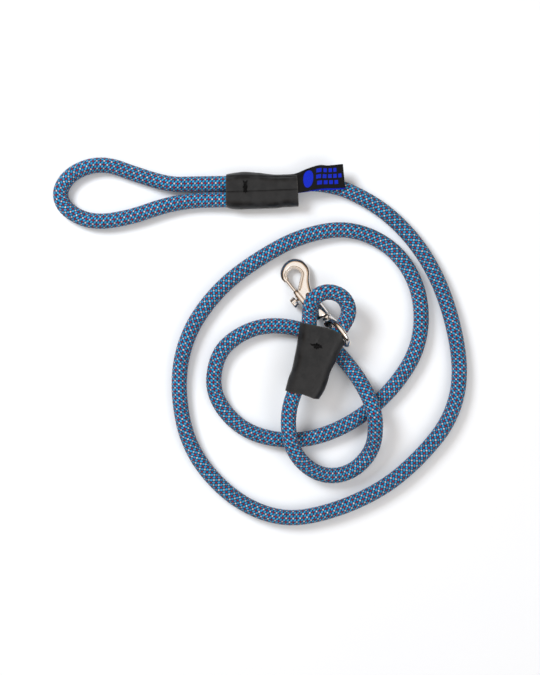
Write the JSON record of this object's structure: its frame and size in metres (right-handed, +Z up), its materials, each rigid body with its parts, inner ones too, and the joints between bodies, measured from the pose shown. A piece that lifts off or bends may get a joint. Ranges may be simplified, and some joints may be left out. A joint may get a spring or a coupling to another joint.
{
  "type": "rope dog leash",
  "caption": "Climbing-rope dog leash with a sewn hand loop, rubber sleeves and a sliding-bolt swivel snap, laid in a loose spiral.",
  "frame": {"origin": "middle of the handle sleeve's flat underside, on the table", "axes": "+X along the handle sleeve from the hand loop towards the long rope, +Z up from the table the leash lies on, +Y to the left of +X"},
  "size_m": [0.2809, 0.2496, 0.0285],
  "materials": {
    "rope_sheath": "braided polyamide sheath, light blue with pink and red tracer yarns",
    "rope_core": "white twisted polyamide core strands",
    "rope_seal": "melted rope end",
    "rubber": "satin black heat-shrunk rubber tube",
    "thread": "black bonded thread",
    "label": "woven black satin ribbon",
    "nickel": "bright nickel plate over cast zinc",
    "spring_steel": "plain spring wire"
  },
  "bodies": {
    "leash": {"rope_sheath": "rope_sheath", "rope_core": "rope_core", "handle_end_seal": "rope_seal", "snap_end_seal": "rope_seal", "handle_sleeve": "rubber", "snap_sleeve": "rubber", "handle_stitch": "thread", "snap_stitch": "thread", "label": "label"},
    "eye": {"swivel_eye": "nickel", "swivel_head": "nickel"},
    "snap": {"snap_body": "nickel", "spring_plug": "nickel", "bolt_spring": "spring_steel"},
    "bolt": {"bolt": "nickel", "thumb_knob": "nickel"}
  },
  "joints": [
    {"name": "eye_swing", "type": "hinge", "parent": "leash", "child": "eye", "pos_m": [0.0517, -0.0951, 0.0139], "axis": [0, 0, 1], "range_deg": [0, 8]},
    {"name": "snap_swivel", "type": "hinge", "parent": "eye", "child": "snap", "pos_m": [0.0517, -0.0951, 0.0139], "axis": [-0.6084, 0.7704, -0.1908], "range_deg": [-200, 8]},
    {"name": "bolt_slide", "type": "slide", "parent": "snap", "child": "bolt", "axis": [0.6084, -0.7704, 0.1908], "range_m": [0, 0.006], "stiffness_N_per_m": 300, "springref_m": -0.008, "deforming": ["bolt_spring"]}
  ]
}
